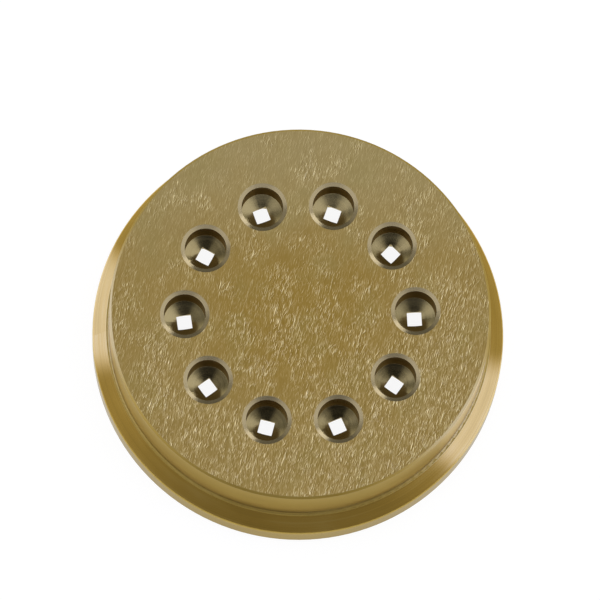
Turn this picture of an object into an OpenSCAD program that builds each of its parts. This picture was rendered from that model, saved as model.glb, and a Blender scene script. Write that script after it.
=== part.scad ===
// Extrusion die for square spaghetti, turned from one bar of brass.
// The underside at z = 0 takes the dough, and the strands leave through the top face.
// The first outlet of the ring lies on +X.

/* [Turned body] */
// Height from the inlet face to the outlet face
total_h = 15.5; // [12:0.5:24]
// Diameter of the flange rim
flange_d = 57; // [50:0.5:80]
// Height of the rim, from the inlet face to the foot of the taper
rim_h = 4.1; // [2:0.1:6]
// Height of the tapered shoulder above the rim
taper_h = 2.7; // [1:0.1:4]
// Radial width of the taper
taper_w = 1.9; // [0.5:0.1:3]
// Radial width of the ledge between the top of the taper and the nose
nose_ledge = 0.4; // [0.3:0.1:1.5]

/* [Edges] */
// Radius of the edge between the rim and the taper
rim_round = 1; // [0.2:0.1:1.2]
// Edge break round the inlet face
base_break = 0.3; // [0.1:0.1:0.8]
// Fillet at the foot of the nose
foot_fillet = 0.4; // [0.2:0.1:1]
// Edge break round the outlet face
face_break = 0.3; // [0.1:0.1:0.8]

/* [Outlets] */
// Number of outlets in the ring
outlet_count = 10; // [3:1:11]
// Diameter of the circle that the outlets lie on
ring_d = 31.7; // [28:0.1:42]
// Side of the square hole
square_w = 2; // [1:0.1:3]
// Straight length of the square hole at the middle of its sides
land_len = 0.3; // [0.2:0.1:2]
// Diameter of the drilled relief on the outlet face
relief_d = 5.75; // [4.5:0.05:7.5]
// Depth of the relief to the shoulder of its drill point
relief_depth = 3.7; // [2:0.1:6]
// Radial width of the countersink at the mouth of the relief
mouth_w = 0.55; // [0.1:0.05:0.8]
// Full angle of the countersink at the mouth of the relief
mouth_angle = 140; // [90:5:150]
// Diameter of the feed hole drilled from the inlet face
feed_d = 8; // [5:0.1:8.8]
// Radial width of the countersink at the mouth of the feed hole
feed_break = 0.3; // [0.1:0.05:0.5]
// Full angle of the drill points
point_angle = 135; // [90:1:140]

/* [Hidden] */
$fn = 96;
brass = [0.58, 0.49, 0.29];
// How far a cut runs past the face that it opens
overcut = 0.5;
// Turn of each square from the radial line, in degrees, as the cutter left it
square_turns = [2, 9, -3, 1, 7, 7, -1, 2, 4, 0];

flange_r = flange_d / 2;
taper_top_r = flange_r - taper_w;
nose_r = taper_top_r - nose_ledge;
shoulder_z = rim_h + taper_h;
// Lean of the taper from the axis
taper_lean = atan2(taper_w, taper_h);
// Height at which the rim's wall goes over into its rounded edge
rim_round_z = rim_h - rim_round * tan(taper_lean / 2);
// The fillet is no wider than the ledge that it lies on
nose_foot = min(foot_fillet, nose_ledge);
// Drop of a drill point for each unit of radius
point_slope = 1 / tan(point_angle / 2);
relief_shoulder_z = total_h - relief_depth;
neck_top_z = relief_shoulder_z - (relief_d - square_w) / 2 * point_slope;
feed_shoulder_z = neck_top_z - land_len - (feed_d - square_w) / 2 * point_slope;

// Section of the rim and of the taper that centres the die in its ring nut
module flange_section() {
    polygon([
        [0, 0],
        [flange_r - base_break, 0],
        [flange_r, base_break],
        [flange_r, rim_round_z],
        [flange_r - rim_round * (1 - cos(taper_lean)), rim_round_z + rim_round * sin(taper_lean)],
        [taper_top_r, shoulder_z],
        [0, shoulder_z]
    ]);
    translate([flange_r - rim_round, rim_round_z])
        circle(rim_round);
}

// Section of the nose, with a filleted foot and a broken upper edge
module nose_section() {
    polygon([
        [0, shoulder_z],
        [nose_r, shoulder_z],
        [nose_r, total_h - face_break],
        [nose_r - face_break, total_h],
        [0, total_h]
    ]);
    difference() {
        translate([nose_r, shoulder_z])
            square(nose_foot);
        translate([nose_r + nose_foot, shoulder_z + nose_foot])
            circle(nose_foot);
    }
}

module turned_blank() {
    rotate_extrude() {
        flange_section();
        nose_section();
    }
}

// Hole that opens at z = 0, with a countersink of the given width and full angle at its mouth
// and the cone that its drill leaves past the given depth
module drilled(d, depth, width, angle) {
    spread = tan(angle / 2);
    rotate_extrude()
        polygon([
            [0, -overcut],
            [d / 2 + width + overcut * spread, -overcut],
            [d / 2, width / spread],
            [d / 2, depth],
            [0, depth + d / 2 * point_slope]
        ]);
}

// One passage: feed hole from below, relief from above, square hole through the neck
module outlet(turn) {
    drilled(feed_d, feed_shoulder_z, feed_break, 90);
    translate([0, 0, total_h])
        mirror([0, 0, 1])
            drilled(relief_d, relief_depth, mouth_w, mouth_angle);
    rotate([0, 0, turn])
        translate([-square_w / 2, -square_w / 2, feed_shoulder_z - overcut])
            cube([square_w, square_w, relief_shoulder_z - feed_shoulder_z + 2 * overcut]);
}

module die_body() {
    color(brass)
        difference() {
            turned_blank();
            for (i = [0 : outlet_count - 1])
                rotate([0, 0, i * 360 / outlet_count])
                    translate([ring_d / 2, 0, 0])
                        outlet(square_turns[i % len(square_turns)]);
        }
}

die_body();
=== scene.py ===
"""Looks of a brass pasta extrusion die, built as an add-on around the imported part."""

import math
from collections import namedtuple
from types import SimpleNamespace

import bpy
from mathutils import Color, Matrix, Quaternion, Vector


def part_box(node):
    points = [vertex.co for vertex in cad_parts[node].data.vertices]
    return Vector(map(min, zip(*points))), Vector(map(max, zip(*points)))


bl_info = {
    "name": "Pasta Extrusion Die",
    "version": (1, 0, 0),
    "blender": (4, 5, 0),
    "location": "View3D > Sidebar > Die",
    "description": "Finishes a brass pasta die and sets a small studio round it",
    "category": "Object",
}

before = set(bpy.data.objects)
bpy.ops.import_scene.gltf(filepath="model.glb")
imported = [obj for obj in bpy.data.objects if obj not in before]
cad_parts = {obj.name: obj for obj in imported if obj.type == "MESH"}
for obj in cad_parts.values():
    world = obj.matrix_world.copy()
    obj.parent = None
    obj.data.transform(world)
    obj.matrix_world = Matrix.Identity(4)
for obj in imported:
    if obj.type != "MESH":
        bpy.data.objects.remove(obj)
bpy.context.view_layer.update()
BODY = "die_body"
# Millimetres in a metre
MM = 1000.0


# Node trees


class Wire:
    """An output socket that takes part in Python sums."""

    def __init__(self, sheet, socket):
        self.sheet = sheet
        self.socket = socket

    def __add__(self, other):
        return self.sheet.math("ADD", self, other)

    def __radd__(self, other):
        return self.sheet.math("ADD", other, self)

    def __sub__(self, other):
        return self.sheet.math("SUBTRACT", self, other)

    def __rsub__(self, other):
        return self.sheet.math("SUBTRACT", other, self)

    def __mul__(self, other):
        return self.sheet.math("MULTIPLY", self, other)

    def __rmul__(self, other):
        return self.sheet.math("MULTIPLY", other, self)

    def __truediv__(self, other):
        return self.sheet.math("DIVIDE", self, other)

    def __rtruediv__(self, other):
        return self.sheet.math("DIVIDE", other, self)


class Sheet:
    """A node tree that is filled by sums of wires."""

    def __init__(self, tree):
        tree.nodes.clear()
        self.tree = tree

    def add(self, kind, settings=None, inputs=None):
        """Add one node, with its settings before its socket values and links."""
        node = self.tree.nodes.new(kind)
        for name, value in (settings or {}).items():
            setattr(node, name, value)
        for key, value in (inputs or {}).items():
            if isinstance(value, Wire):
                self.tree.links.new(value.socket, node.inputs[key])
            else:
                node.inputs[key].default_value = value
        return node

    def wire(self, kind, output=0, settings=None, inputs=None):
        """Add one node and return one of its outputs."""
        return Wire(self, self.add(kind, settings, inputs).outputs[output])

    def math(self, operation, *values):
        """Arithmetic on wires and plain numbers."""
        return self.wire("ShaderNodeMath", 0, {"operation": operation}, dict(enumerate(values)))

    def over_zero(self, value):
        """The value where it is over 0, and 0 elsewhere."""
        return self.math("MAXIMUM", value, 0.0)

    def clamped(self, value):
        """The value, kept from 0 to 1."""
        return self.over_zero(self.math("MINIMUM", value, 1.0))

    def distance(self, x, y):
        """Distance of a point in a plane from the middle."""
        return self.math("SQRT", x * x + y * y)

    def vector(self, x, y, z):
        """Three numbers as one vector."""
        return self.wire("ShaderNodeCombineXYZ", 0, None, {0: x, 1: y, 2: z})

    def scaled(self, vector, scale):
        """A vector or colour times a number."""
        return self.wire("ShaderNodeVectorMath", 0, {"operation": "SCALE"}, {0: vector, "Scale": scale})

    def split(self, vector):
        """The three numbers of a vector."""
        parts = self.add("ShaderNodeSeparateXYZ", None, {0: vector})
        return [Wire(self, output) for output in parts.outputs]

    def ramp(self, value, low, high):
        """0 at low and 1 at high, with a smooth rise between them."""
        return self.wire(
            "ShaderNodeMapRange",
            0,
            {"interpolation_type": "SMOOTHSTEP"},
            {0: value, 1: low, 2: high, 3: 0.0, 4: 1.0},
        )

    def between(self, part, first, second):
        """Two numbers mixed, the second by a part from 0 to 1."""
        return self.wire("ShaderNodeMix", 0, {"data_type": "FLOAT"}, {0: part, 2: first, 3: second})

    def blend(self, part, first, second):
        """Two colours mixed, the second by a part from 0 to 1."""
        return self.wire("ShaderNodeMix", 2, {"data_type": "RGBA"}, {0: part, 6: first, 7: second})

    def noise(self, place, detail):
        """Soft noise with features about one unit across."""
        return self.wire("ShaderNodeTexNoise", 0, None, {"Vector": place, "Scale": 1.0, "Detail": detail})


# Settings


def metres(name, description, default):
    """A length property."""
    return bpy.props.FloatProperty(
        name=name, description=description, default=default, min=0.0, precision=5, unit="LENGTH"
    )


def factor(name, description, default):
    """A property from 0 to 1."""
    return bpy.props.FloatProperty(
        name=name, description=description, default=default, min=0.0, max=1.0, subtype="FACTOR"
    )


def colour(name, description, *screen):
    """A colour property, given in screen values from 0 to 255 and kept in linear values."""
    linear = Color([value / 255 for value in screen]).from_srgb_to_scene_linear()
    return bpy.props.FloatVectorProperty(
        name=name, description=description, default=(*linear, 1.0), size=4, min=0.0, max=1.0, subtype="COLOR"
    )


def degrees(name, description, default):
    """An angle property."""
    return bpy.props.FloatProperty(
        name=name, description=description, default=math.radians(default), subtype="ANGLE"
    )


def brightness(name, description, default):
    """Brightness of a lamp or a wall: 1 is seen as white."""
    return bpy.props.FloatProperty(name=name, description=description, default=default, min=0.0)


class DieFinish(bpy.types.PropertyGroup):
    """Colours and finish of the brass body."""

    outlets: bpy.props.IntProperty(name="Outlets", description="Outlets in the ring", default=10, min=1)
    brass: colour("Face", "Brass of the outlet face", 136, 112, 54)
    pale: colour("Pale face", "Brass of the outlet face toward its edge", 140, 119, 69)
    # Painted reflection: this paler brass makes the outlet face lighter toward its +y side.
    painted_reflection: colour("Faded face", "Brass on the side of the outlet face that has faded", 149, 135, 96)
    tarnish: colour("Tarnish", "Brass in the soft patches of tarnish", 134, 121, 71)
    # The light strokes are partly fresh metal and partly a painted glint, and the dark strokes are a painted shade
    # beside each light one.
    light: colour("Light strokes", "Fresh metal in the light strokes", 250, 235, 188)
    dark: colour("Dark strokes", "Dull metal in the dark strokes", 106, 84, 38)
    side: colour("Side", "Brass of the nose and the rim", 155, 132, 68)
    # Painted light: this lighter brass toward the nose's foot offsets the shade that falls in the corner at the
    # foot.
    nose_painted_light: colour("Low nose", "Brass of the nose toward its foot, rubbed by the ring nut", 172, 149, 86)
    taper: colour("Taper", "Brass of the tapered shoulder", 156, 126, 56)
    side_light: colour("Light side", "Lighter lines on the turned side", 174, 154, 94)
    side_dark: colour("Dark side", "Darker lines on the turned side", 126, 102, 46)
    mouth: colour("Mouth", "Metal of the countersinks", 160, 147, 118)
    drilled: colour("Drilled", "Brass on the floor of the drilled holes", 162, 149, 114)
    wall: colour("Wall", "Brass on the wall of the drilled holes", 151, 134, 101)
    under: colour("Underside", "Brass of the inlet face", 148, 127, 78)
    fresh: colour("Fresh marks", "Bright marks in drilled and faced metal", 188, 170, 126)
    dull: colour("Dull marks", "Dark marks in drilled and faced metal", 118, 97, 54)
    edge: colour("Edge tint", "Colour of the metal at grazing angles", 222, 214, 192)
    face_rough: factor("Face roughness", "Roughness of the outlet face", 0.42)
    nose_rough: factor("Nose roughness", "Roughness of the nose's wall", 0.36)
    edge_rough: factor("Edge roughness", "Roughness of the rim's rounded edge and of the nose's fillet", 0.43)
    side_rough: factor("Side roughness", "Roughness of the taper and the rim", 0.2)
    mouth_rough: factor("Mouth roughness", "Roughness of the countersinks", 0.2)
    hole_rough: factor("Hole roughness", "Roughness on the floor of the drilled holes", 0.15)
    wall_rough: factor("Wall roughness", "Roughness on the wall of the drilled holes", 0.3)
    under_rough: factor("Underside roughness", "Roughness of the inlet face", 0.36)
    wall_depth: metres("Wall depth", "Depth of the straight wall of a relief", 0.0037)
    nose_foot: metres("Nose foot", "Height at which the nose begins", 0.0068)
    rim_top: metres("Rim top", "Height at which the rim ends", 0.0043)
    relief: metres("Relief", "Depth of the strokes in the face", 0.000006)


class StudioSettings(bpy.types.PropertyGroup):
    """Floor, lamps and camera."""

    floor: metres("Floor", "Side of the square floor", 6.0)
    distance: metres("Distance", "Distance from the camera to the outlet face", 1.0)
    lens: bpy.props.FloatProperty(name="Lens", description="Focal length in millimetres", default=437.5)
    elevation: degrees("Elevation", "Height of the view above the horizon", 75.37)
    roll: degrees("Roll", "Turn of the camera about its own axis", 6.48)
    turn: degrees("Turn", "Turn of the camera about the die", -7.52)
    lift: metres("Lift", "How far above the middle of the face the camera aims", 0.00173)
    drift: metres("Drift", "How far left of the middle of the face the camera aims", 0.00005)
    room: brightness("Room", "Brightness of the ceiling, and of the wall behind the die", 0.22)
    fill: brightness("Fill", "Brightness of the walls above the light boxes", 0.6)
    flank: brightness("Flank", "Brightness of these walls at both sides of the camera", 1.3)
    warm: colour("Warm", "Colour of the walls and the ceiling", 255, 251, 230)
    around: brightness("Around", "Brightness of the floor and low walls round the die", 0.8)
    front: brightness("Front", "Brightness of the floor and low wall on the camera's side", 0.34)
    boxes: brightness("Boxes", "Brightness of the light boxes at both sides", 2.0)
    cool: bpy.props.FloatVectorProperty(
        name="Cool",
        description="Colour of the light boxes",
        default=(1.0, 1.22, 3.4, 1.0),
        size=4,
        min=0.0,
        subtype="COLOR",
    )
    overhead: brightness("Overhead", "Brightness of the overhead panel", 1.0)
    beside: brightness("Beside", "Brightness of the panel behind on the right", 2.2)


# Finish of the body. Lengths in this section are in millimetres

# Colour, roughness and height of one machined zone
Skin = namedtuple("Skin", "colour rough height")
# Middle of the range of the noise
MIDDLE = 0.5
# Points this near to the top belong to the outlet face
FACE_TOLERANCE = 0.001
# Points within this part of the outlet face's reach belong to the mouths of the outlets
MOUTH_REACH = 0.9

# Light strokes in the outlet face, each partly fresh metal and partly a painted glint: heading in degrees, length,
# width, amount, seed
LIGHT_STROKES = (
    (77, 1.25, 0.075, 0.335, 1),
    (69, 1.05, 0.070, 0.330, 2),
    (84, 1.10, 0.070, 0.330, 3),
    (62, 1.30, 0.075, 0.315, 4),
    (74, 3.00, 0.075, 0.310, 5),
    (48, 1.60, 0.080, 0.290, 6),
    (108, 1.20, 0.080, 0.280, 7),
)
# Fine grain between the strokes: heading in degrees, length, width, seed
FINE_GRAIN = ((73, 0.9, 0.09, 8), (82, 1.3, 0.075, 9))
# Distance in the noise from one seed to the next
SEED_STEP = 7.3
# Softness of a stroke's edge
STROKE_EDGE = 0.08
# How far each dark stroke, a painted shade, lies beside its light one
DARK_SHIFT = 0.12

# Where the outlet face is worn, pale, paler toward +y with a painted reflection, and tarnished, and how much its
# marks count
FACE = SimpleNamespace(
    worn_slope=(0.002, -0.006),
    worn_range=(0.38, 0.6),
    worn_least=0.28,
    pale_radius=(4.0, 21.0),
    reflection_side=(3.0, 24.0),
    reflection_sway=14.0,
    reflection_most=0.75,
    tarnish_range=(0.45, 0.7),
    tarnish_most=0.25,
    dark_shade=0.85,
    mottle_shade=0.4,
    grain_shade=2.4,
    light_glint=0.9,
    grain_glint=1.2,
    mottle_rough=0.2,
    light_rough=0.08,
    light_height=0.8,
)
# Zones of the turned side, by height from the foot of the nose or down from the top of the rim, and how much
# its lines and stains count
SIDE = SimpleNamespace(
    soften=0.1,
    round_height=0.45,
    fillet_end=(0.2, 0.5),
    # Painted light: the nose is fully lighter up to the second height over its foot, fades out by the first, and
    # is much less light on the fillet.
    lightened_end=(5.2, 1.2),
    fillet_unlightened=0.8,
    line_pitch=7.0,
    line_drift=0.7,
    stain_rise=0.3,
    stain_turn=3.0,
    stain_layer=4.0,
    line_mark=1.3,
    stain_mark=0.9,
    mark_rough=0.1,
    line_height=0.25,
)
# Rings of the drill, and how much they and the own tone of each outlet count
HOLE = SimpleNamespace(
    wall_soften=0.02,
    ring_pitch=6.0,
    ring_drift=2.0,
    outlet_step=3.1,
    ring_mark=0.6,
    chance_mark=0.25,
    mark_rough=0.2,
    ring_height=0.3,
)
# Rings of the lathe on the underside, and how much they and the wear count
UNDER = SimpleNamespace(
    ring_pitch=5.0, ring_drift=0.4, ring_mark=0.8, wear_mark=0.8, mark_rough=0.2, ring_height=0.4
)
# Where each zone begins and is full: past the mouth's radius, below the outlet face, and in from both flat faces
ZONE = SimpleNamespace(
    hole_past=(1.05, 1.0), mouth_past=(0.05, 0.02), mouth_below=(0.215, 0.205), flat=(0.008, 0.004)
)


def outlet_sizes(body, top):
    """Radius of the outlets' ring and of a mouth, from the edges in the outlet face."""
    edge = [v.co.xy.length * MM for v in body.data.vertices if abs(v.co.z * MM - top) < FACE_TOLERANCE]
    inner = [reach for reach in edge if reach < max(edge) * MOUTH_REACH]
    return (max(inner) + min(inner)) / 2, (max(inner) - min(inner)) / 2


def places(sheet, finish, ring):
    """Coordinates, the number of the nearest outlet and the distance from its axis."""
    x, y, z = sheet.split(sheet.scaled(sheet.wire("ShaderNodeTexCoord", "Object"), MM))
    radius = sheet.distance(x, y)
    angle = sheet.math("ARCTAN2", y, x)
    pitch = 2 * math.pi / finish.outlets
    local = sheet.math("WRAP", angle, pitch / 2, -pitch / 2)
    out = radius * sheet.math("COSINE", local) - ring
    across = radius * sheet.math("SINE", local)
    return SimpleNamespace(
        x=x,
        y=y,
        z=z,
        radius=radius,
        angle=angle,
        number=sheet.math("FLOOR", angle / pitch + 0.5),
        from_outlet=sheet.distance(out, across),
    )


def blotches(sheet, at, span, layer, detail):
    """Soft blotches over a flat face, about as wide as the span."""
    return sheet.noise(sheet.vector(at.x / span, at.y / span, layer), detail)


def grain(sheet, at, heading, span, width, seed, shift=0.0):
    """Noise drawn out one way, in lines of the given length and width, and moved sideways by a shift."""
    turn = math.radians(heading)
    along = at.x * math.cos(turn) + at.y * math.sin(turn)
    across = at.y * math.cos(turn) - at.x * math.sin(turn) + shift
    return sheet.noise(sheet.vector(along / span, across / width, seed * SEED_STEP), detail=1.0)


def strokes(sheet, at, worn, shift=0.0):
    """All short strokes of the outlet face where it is worn: over 0 on a stroke, and 0 between strokes."""
    total = 0.0
    for heading, span, width, amount, seed in LIGHT_STROKES:
        lines = grain(sheet, at, heading, span, width, seed, shift)
        total = total + sheet.ramp(lines, 1.0 - amount, 1.0 - amount + STROKE_EDGE)
    return total * worn


def marked(sheet, mark, plain, dark, light):
    """A plain colour, darker where a mark is under 0 and lighter where it is over 0."""
    shaded = sheet.blend(sheet.over_zero(0.0 - mark), plain, dark)
    return sheet.blend(sheet.over_zero(mark), shaded, light)


def outlet_face(sheet, at, finish):
    """The worn face: short strokes that mostly run one way, over soft mottling. The light strokes are partly a
    painted glint, each has a painted shade beside it, and a painted reflection makes the face paler toward +y.
    """
    mottle = blotches(sheet, at, span=3.5, layer=7.0, detail=3.0)
    patch = blotches(sheet, at, span=4.5, layer=2.0, detail=3.0)
    haze = blotches(sheet, at, span=6.0, layer=12.0, detail=2.0)
    fine = sum(grain(sheet, at, *row) for row in FINE_GRAIN) / len(FINE_GRAIN)
    wear = patch + at.x * FACE.worn_slope[0] + at.y * FACE.worn_slope[1]
    worn = sheet.ramp(wear, *FACE.worn_range) * (1.0 - FACE.worn_least) + FACE.worn_least
    light = strokes(sheet, at, worn)
    dark = strokes(sheet, at, worn, DARK_SHIFT)
    # Painted reflection: the face turns paler toward its +y side, along an edge that sways with the haze.
    reflection_share = sheet.ramp(at.y + (haze - MIDDLE) * FACE.reflection_sway, *FACE.reflection_side)
    tone = sheet.blend(sheet.ramp(at.radius, *FACE.pale_radius), finish.brass, finish.pale)
    tone = sheet.blend(reflection_share * FACE.reflection_most, tone, finish.painted_reflection)
    tone = sheet.blend(sheet.ramp(haze, *FACE.tarnish_range) * FACE.tarnish_most, tone, finish.tarnish)
    uneven = (fine - MIDDLE) * worn
    # Painted shade and glint: the dark strokes darken the face beside each light stroke, and the light strokes are
    # partly a painted glint. The mottle and the fine grain are the metal's own uneven tone.
    shade = dark * FACE.dark_shade + (MIDDLE - mottle) * FACE.mottle_shade - uneven * FACE.grain_shade
    glint = light * FACE.light_glint + uneven * FACE.grain_glint
    tone = sheet.blend(sheet.clamped(shade), tone, finish.dark)
    return Skin(
        colour=sheet.blend(sheet.clamped(glint), tone, finish.light),
        rough=finish.face_rough + (mottle - MIDDLE) * FACE.mottle_rough + light * FACE.light_rough,
        height=light * FACE.light_height - dark,
    )


def turned_side(sheet, at, finish):
    """The turned side: fine lines that run round it, satin on the nose and smoother on the taper and the rim. A
    painted light makes the nose lighter toward its foot.
    """
    foot = finish.nose_foot * MM
    rim = finish.rim_top * MM
    edge = rim - SIDE.round_height
    on_nose = sheet.ramp(at.z, foot - SIDE.soften, foot)
    above_rim = sheet.ramp(at.z, rim - SIDE.soften, rim)
    on_round = sheet.ramp(at.z, edge - SIDE.soften, edge) - above_rim
    on_foot = on_nose - sheet.ramp(at.z, *(foot + end for end in SIDE.fillet_end))
    low_down = sheet.ramp(at.z, *(foot + end for end in SIDE.lightened_end))
    lightened = (on_nose - on_foot * SIDE.fillet_unlightened) * low_down
    on_line = sheet.vector(at.z * SIDE.line_pitch, at.radius * SIDE.line_pitch, at.angle * SIDE.line_drift)
    on_stain = sheet.vector(at.z * SIDE.stain_rise, at.angle * SIDE.stain_turn, SIDE.stain_layer)
    lines = sheet.noise(on_line, detail=3.0)
    stain = sheet.noise(on_stain, detail=2.0)
    mark = (lines - MIDDLE) * SIDE.line_mark + (stain - MIDDLE) * SIDE.stain_mark
    tone = sheet.blend(above_rim - on_nose, finish.side, finish.taper)
    # Painted light: lighter brass toward the nose's foot, offsetting the shade in the corner there.
    tone = sheet.blend(lightened, tone, finish.nose_painted_light)
    rough = sheet.between(on_nose, finish.side_rough, finish.nose_rough)
    return Skin(
        colour=marked(sheet, mark, tone, finish.side_dark, finish.side_light),
        rough=sheet.between(on_round + on_foot, rough, finish.edge_rough) + mark * SIDE.mark_rough,
        height=lines * SIDE.line_height,
    )


def drilled_hole(sheet, at, finish, top):
    """Drilled metal: rings of the drill, with a tone of its own in each outlet and a duller wall in the relief."""
    foot = top - finish.wall_depth * MM
    on_wall = sheet.ramp(at.z, foot - HOLE.wall_soften, foot)
    on_ring = sheet.vector(at.z * HOLE.ring_pitch, at.number * HOLE.outlet_step, at.angle * HOLE.ring_drift)
    rings = sheet.noise(on_ring, detail=3.0)
    chance = sheet.wire("ShaderNodeTexWhiteNoise", 0, {"noise_dimensions": "1D"}, {"W": at.number})
    mark = (rings - MIDDLE) * HOLE.ring_mark + (chance - MIDDLE) * HOLE.chance_mark
    tone = sheet.blend(on_wall, finish.drilled, finish.wall)
    return Skin(
        colour=marked(sheet, mark, tone, finish.dull, finish.fresh),
        rough=sheet.between(on_wall, finish.hole_rough, finish.wall_rough) + mark * HOLE.mark_rough,
        height=rings * HOLE.ring_height,
    )


def inlet_face(sheet, at, finish):
    """The underside: rings left by facing on the lathe, with some wear."""
    on_ring = sheet.vector(at.radius * UNDER.ring_pitch, 0.0, at.angle * UNDER.ring_drift)
    rings = sheet.noise(on_ring, detail=2.0)
    wear = blotches(sheet, at, span=4.0, layer=9.0, detail=3.0)
    mark = (rings - MIDDLE) * UNDER.ring_mark + (wear - MIDDLE) * UNDER.wear_mark
    return Skin(
        colour=marked(sheet, mark, finish.under, finish.dull, finish.fresh),
        rough=finish.under_rough + mark * UNDER.mark_rough,
        height=rings * UNDER.ring_height,
    )


def over(sheet, part, below, above):
    """One finish laid over another where the part is 1."""
    return Skin(
        colour=sheet.blend(part, below.colour, above.colour),
        rough=sheet.between(part, below.rough, above.rough),
        height=sheet.between(part, below.height, above.height),
    )


def brass_material(finish, body, top):
    """Brass for the whole body, with a finish for each machined zone."""
    material = bpy.data.materials.new("die_brass")
    material.use_nodes = True
    sheet = Sheet(material.node_tree)
    ring, mouth = outlet_sizes(body, top)
    at = places(sheet, finish, ring)
    in_hole = sheet.ramp(at.from_outlet, *(mouth + past for past in ZONE.hole_past))
    by_mouth = sheet.ramp(at.from_outlet, *(mouth + past for past in ZONE.mouth_past))
    in_mouth = sheet.ramp(at.z, *(top - below for below in ZONE.mouth_below)) * by_mouth
    on_top = sheet.ramp(at.z, *(top - below for below in ZONE.flat))
    on_base = sheet.ramp(at.z, *ZONE.flat)
    hole = drilled_hole(sheet, at, finish, top)
    countersink = Skin(colour=finish.mouth, rough=finish.mouth_rough, height=hole.height)
    skin = over(sheet, in_hole, turned_side(sheet, at, finish), hole)
    skin = over(sheet, in_mouth, skin, countersink)
    skin = over(sheet, on_base, skin, inlet_face(sheet, at, finish))
    skin = over(sheet, on_top, skin, outlet_face(sheet, at, finish))
    bump = {"Strength": 1.0, "Distance": finish.relief, "Height": skin.height}
    surface = sheet.wire(
        "ShaderNodeBsdfPrincipled",
        0,
        None,
        {
            "Base Color": skin.colour,
            "Roughness": skin.rough,
            "Metallic": 1.0,
            "Specular Tint": finish.edge,
            "Normal": sheet.wire("ShaderNodeBump", 0, None, bump),
        },
    )
    sheet.add("ShaderNodeOutputMaterial", None, {"Surface": surface})
    return material


class DIE_OT_finish_body(bpy.types.Operator):
    """Give the brass body its machined finish"""

    bl_idname = "die.finish_body"
    bl_label = "Finish Body"

    def execute(self, context):
        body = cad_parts.get(BODY)
        if body is None:
            raise RuntimeError(f"the packed part has no node named {BODY}")
        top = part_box(BODY)[1].z * MM
        material = brass_material(context.scene.die_finish, body, top)
        body.data.materials.clear()
        body.data.materials.append(material)
        return {"FINISHED"}


# Studio. Lengths in this section are in metres, apart from the floor's glow

# A range of directions round the die, in degrees: heading from the camera's right, outer edge, full core
Sector = namedtuple("Sector", "heading edge core")
FRONT = Sector(-90, 70, 0)
LEFT_BOX = Sector(175, 20, 11)
RIGHT_BOX = Sector(-14, 20, 11)
LEFT_FLANK = Sector(180, 60, 30)
RIGHT_FLANK = Sector(-10, 60, 30)
BEHIND = Sector(90, 85, 45)
DIM_ROOF = Sector(-82, 55, 28)
# Keeps a division by a distance away from 0
NEAR_ZERO = 0.0001

# The floor lies this far below the base, so that the two don't share a plane
FLOOR_GAP = 0.00002
# Glow of the floor to the camera, the grey under that glow which takes the shadow, and the grey in plain light
FLOOR_GLOW = 0.92
SHADOW_GREY = 0.12
PLAIN_GREY = 0.8
# Glow of the floor in reflections. The ranges are in millimetres from the die's axis
GLOW = SimpleNamespace(
    by_die=0.95,
    by_die_end=(29.6, 30.4),
    bright=2.1,
    bright_front=1.8,
    bright_boxes=0.8,
    bright_end=(33.0, 37.0),
    cool_start=(31.0, 35.0),
)
# How much brighter the low walls are than the floor, how far the roof over the camera is dimmed, and where the
# walls and the roof begin, as the sine of the height above the horizon
ROOM = SimpleNamespace(low_gain=1.9, roof_dim=0.88, wall_start=(0.3, 0.5), roof_start=(0.56, 0.72))
# The panel above the die, with its spin in degrees, and the one behind it on the right
OVERHEAD = SimpleNamespace(offset=(0.05, 0.12, 0.0), height=0.6, size=(1.12, 0.81), spin=11)
BESIDE = SimpleNamespace(heading=58, rise=38.5, reach=0.6, size=(0.27, 0.1))
# Width of the camera's sensor in millimetres, and the nearest and furthest that it sees
SENSOR_WIDTH = 36.0
CLIP = (0.01, 20.0)


def grey(level):
    """A grey of the given level, as a colour."""
    return (level, level, level, 1.0)


WHITE = grey(1.0)


def plane(name, corners, material):
    """A flat piece of the studio."""
    mesh = bpy.data.meshes.new(name)
    mesh.from_pydata(corners, [], [tuple(range(len(corners)))])
    piece = bpy.data.objects.new(name, mesh)
    piece.data.materials.append(material)
    bpy.context.scene.collection.objects.link(piece)


def toward(sheet, x, y, settings, sector):
    """1 in the core of a sector, and 0 past its edge."""
    turn = settings.turn + math.radians(sector.heading)
    facing = (x * math.cos(turn) + y * math.sin(turn)) / (sheet.distance(x, y) + NEAR_ZERO)
    return sheet.ramp(facing, math.cos(math.radians(sector.edge)), math.cos(math.radians(sector.core)))


def surround(sheet, x, y, settings, gain):
    """Brightness round the die by heading, and the parts of the front and of the light boxes in it."""
    front = toward(sheet, x, y, settings, FRONT)
    boxes = toward(sheet, x, y, settings, LEFT_BOX) + toward(sheet, x, y, settings, RIGHT_BOX)
    plain = sheet.between(front, settings.around * gain, settings.front * gain)
    return sheet.between(boxes, plain, settings.boxes), front, boxes


def floor_glow(sheet, settings):
    """Colour of the floor in reflections: white by the die, and by heading further out."""
    x, y = sheet.split(sheet.scaled(sheet.wire("ShaderNodeTexCoord", "Object"), MM))[:2]
    reach = sheet.distance(x, y)
    far, front, boxes = surround(sheet, x, y, settings, 1.0)
    bright = sheet.between(front, GLOW.bright, GLOW.bright_front) + boxes * GLOW.bright_boxes
    near = sheet.between(sheet.ramp(reach, *GLOW.by_die_end), GLOW.by_die, bright)
    hue = sheet.blend(boxes * sheet.ramp(reach, *GLOW.cool_start), WHITE, settings.cool)
    return sheet.scaled(hue, sheet.between(sheet.ramp(reach, *GLOW.bright_end), near, far))


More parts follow.
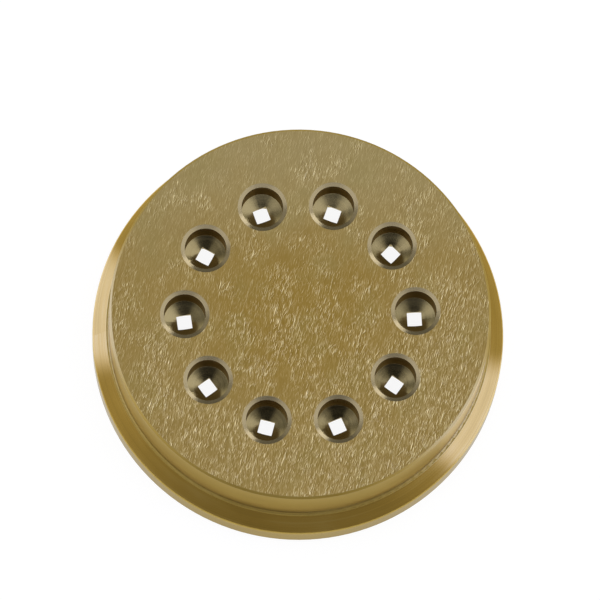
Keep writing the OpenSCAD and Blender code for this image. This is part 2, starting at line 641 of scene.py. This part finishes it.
def floor_material(settings):
    """White to the camera, with a glow of its own in reflections, and plain pale grey to other light."""
    material = bpy.data.materials.new("floor_white")
    material.use_nodes = True
    sheet = Sheet(material.node_tree)
    rays = sheet.add("ShaderNodeLightPath")
    camera, glossy, clear = (
        Wire(sheet, rays.outputs[name]) for name in ("Is Camera Ray", "Is Glossy Ray", "Is Transmission Ray")
    )
    seen = sheet.math("MAXIMUM", sheet.math("MAXIMUM", camera, clear), glossy)
    shine = sheet.blend(glossy, grey(FLOOR_GLOW), floor_glow(sheet, settings))
    lit = sheet.wire("ShaderNodeEmission", 0, None, {"Color": shine, "Strength": 1.0})
    shade = sheet.wire("ShaderNodeBsdfDiffuse", 0, None, {"Color": grey(SHADOW_GREY)})
    white = sheet.wire("ShaderNodeAddShader", 0, None, {0: shade, 1: lit})
    plain = sheet.wire("ShaderNodeBsdfDiffuse", 0, None, {"Color": grey(PLAIN_GREY)})
    mixed = sheet.wire("ShaderNodeMixShader", 0, None, {0: seen, 1: plain, 2: white})
    sheet.add("ShaderNodeOutputMaterial", None, {"Surface": mixed})
    return material


def set_world(scene, settings):
    """A dim room with a light box at both sides, white where the camera looks past the floor."""
    world = bpy.data.worlds.new("room")
    world.use_nodes = True
    sheet = Sheet(world.node_tree)
    x, y, z = sheet.split(sheet.wire("ShaderNodeTexCoord", "Generated"))
    low, _, boxes = surround(sheet, x, y, settings, ROOM.low_gain)
    flanks = toward(sheet, x, y, settings, LEFT_FLANK) + toward(sheet, x, y, settings, RIGHT_FLANK)
    wall = sheet.between(toward(sheet, x, y, settings, BEHIND), settings.fill, settings.room)
    wall = sheet.between(flanks, wall, settings.flank)
    roof = settings.room * (1.0 - toward(sheet, x, y, settings, DIM_ROOF) * ROOM.roof_dim)
    high = sheet.between(sheet.ramp(z, *ROOM.roof_start), wall, roof)
    raised = sheet.ramp(z, *ROOM.wall_start)
    glow = sheet.between(raised, low, high)
    hue = sheet.blend(raised, sheet.blend(boxes, WHITE, settings.cool), settings.warm)
    seen = sheet.wire("ShaderNodeLightPath", "Is Camera Ray")
    sky = {"Color": sheet.blend(seen, hue, WHITE), "Strength": sheet.between(seen, glow, 1.0)}
    sheet.add("ShaderNodeOutputWorld", None, {"Surface": sheet.wire("ShaderNodeBackground", 0, None, sky)})
    scene.world = world


def panel(scene, name, place, aim, size, level, spin=0.0):
    """An oval soft panel of even brightness, aimed at a point and turned about its own axis."""
    data = bpy.data.lights.new(name, "AREA")
    data.shape = "ELLIPSE"
    data.size, data.size_y = size
    area = math.pi * data.size * data.size_y / 4
    data.energy = level * math.pi * area
    lamp = bpy.data.objects.new(name, data)
    lamp.location = place
    facing = (aim - place).to_track_quat("-Z", "Y")
    lamp.rotation_euler = (facing @ Quaternion((0.0, 0.0, 1.0), spin)).to_euler()
    lamp.visible_camera = False
    scene.collection.objects.link(lamp)


def set_lamps(scene, settings, centre):
    """A wide panel above the die, and a small one behind it on the right."""
    turn = Matrix.Rotation(settings.turn, 3, "Z")
    below = centre + turn @ Vector(OVERHEAD.offset)
    above = below + Vector((0.0, 0.0, OVERHEAD.height))
    spin = settings.turn + math.radians(OVERHEAD.spin)
    panel(scene, "overhead_panel", above, below, OVERHEAD.size, settings.overhead, spin)
    heading, rise = math.radians(BESIDE.heading), math.radians(BESIDE.rise)
    way = Vector((math.cos(heading) * math.cos(rise), math.sin(heading) * math.cos(rise), math.sin(rise)))
    panel(scene, "side_panel", centre + turn @ way * BESIDE.reach, centre, BESIDE.size, settings.beside)


def set_camera(scene, settings, centre):
    """The camera at the angle of the photograph."""
    data = bpy.data.cameras.new("camera")
    data.lens = settings.lens
    data.sensor_width = SENSOR_WIDTH
    data.clip_start, data.clip_end = CLIP
    turn = Matrix.Rotation(settings.turn, 3, "Z")
    back = turn @ Vector((0.0, -math.cos(settings.elevation), math.sin(settings.elevation)))
    side = turn @ Vector((1.0, 0.0, 0.0))
    up = back.cross(side) * math.cos(settings.roll) - side * math.sin(settings.roll)
    place = centre + back * settings.distance
    aim = centre + up * settings.lift - up.cross(back) * settings.drift
    axis = (place - aim).normalized()
    right = up.cross(axis).normalized()
    facing = Matrix((right, axis.cross(right), axis)).transposed()
    camera = bpy.data.objects.new("camera", data)
    camera.matrix_world = Matrix.Translation(place) @ facing.to_4x4()
    scene.collection.objects.link(camera)
    scene.camera = camera


class DIE_OT_set_studio(bpy.types.Operator):
    """Set the floor, room, lamps and camera"""

    bl_idname = "die.set_studio"
    bl_label = "Set Studio"

    def execute(self, context):
        scene = context.scene
        settings = scene.die_studio
        centre = Vector((0.0, 0.0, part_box(BODY)[1].z))
        half = settings.floor / 2
        corners = [(x * half, y * half, -FLOOR_GAP) for x, y in ((-1, -1), (1, -1), (1, 1), (-1, 1))]
        plane("floor", corners, floor_material(settings))
        set_world(scene, settings)
        set_lamps(scene, settings, centre)
        set_camera(scene, settings, centre)
        scene.view_settings.view_transform = "Standard"
        return {"FINISHED"}


# Add-on


class DIE_PT_sidebar(bpy.types.Panel):
    """Steps that finish the die and set its studio"""

    bl_idname = "DIE_PT_sidebar"
    bl_label = "Pasta Die"
    bl_space_type = "VIEW_3D"
    bl_region_type = "UI"
    bl_category = "Die"

    def draw(self, context):
        for group, operator in (
            (context.scene.die_finish, DIE_OT_finish_body),
            (context.scene.die_studio, DIE_OT_set_studio),
        ):
            box = self.layout.box()
            for name in group.__annotations__:
                box.prop(group, name)
            box.operator(operator.bl_idname)


CLASSES = (DieFinish, StudioSettings, DIE_OT_finish_body, DIE_OT_set_studio, DIE_PT_sidebar)


def register():
    for item in CLASSES:
        bpy.utils.register_class(item)
    bpy.types.Scene.die_finish = bpy.props.PointerProperty(type=DieFinish)
    bpy.types.Scene.die_studio = bpy.props.PointerProperty(type=StudioSettings)


def unregister():
    del bpy.types.Scene.die_studio
    del bpy.types.Scene.die_finish
    for item in reversed(CLASSES):
        bpy.utils.unregister_class(item)


def main():
    """Finish the die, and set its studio."""
    register()
    bpy.ops.die.finish_body()
    bpy.ops.die.set_studio()


if __name__ == "__main__":
    main()
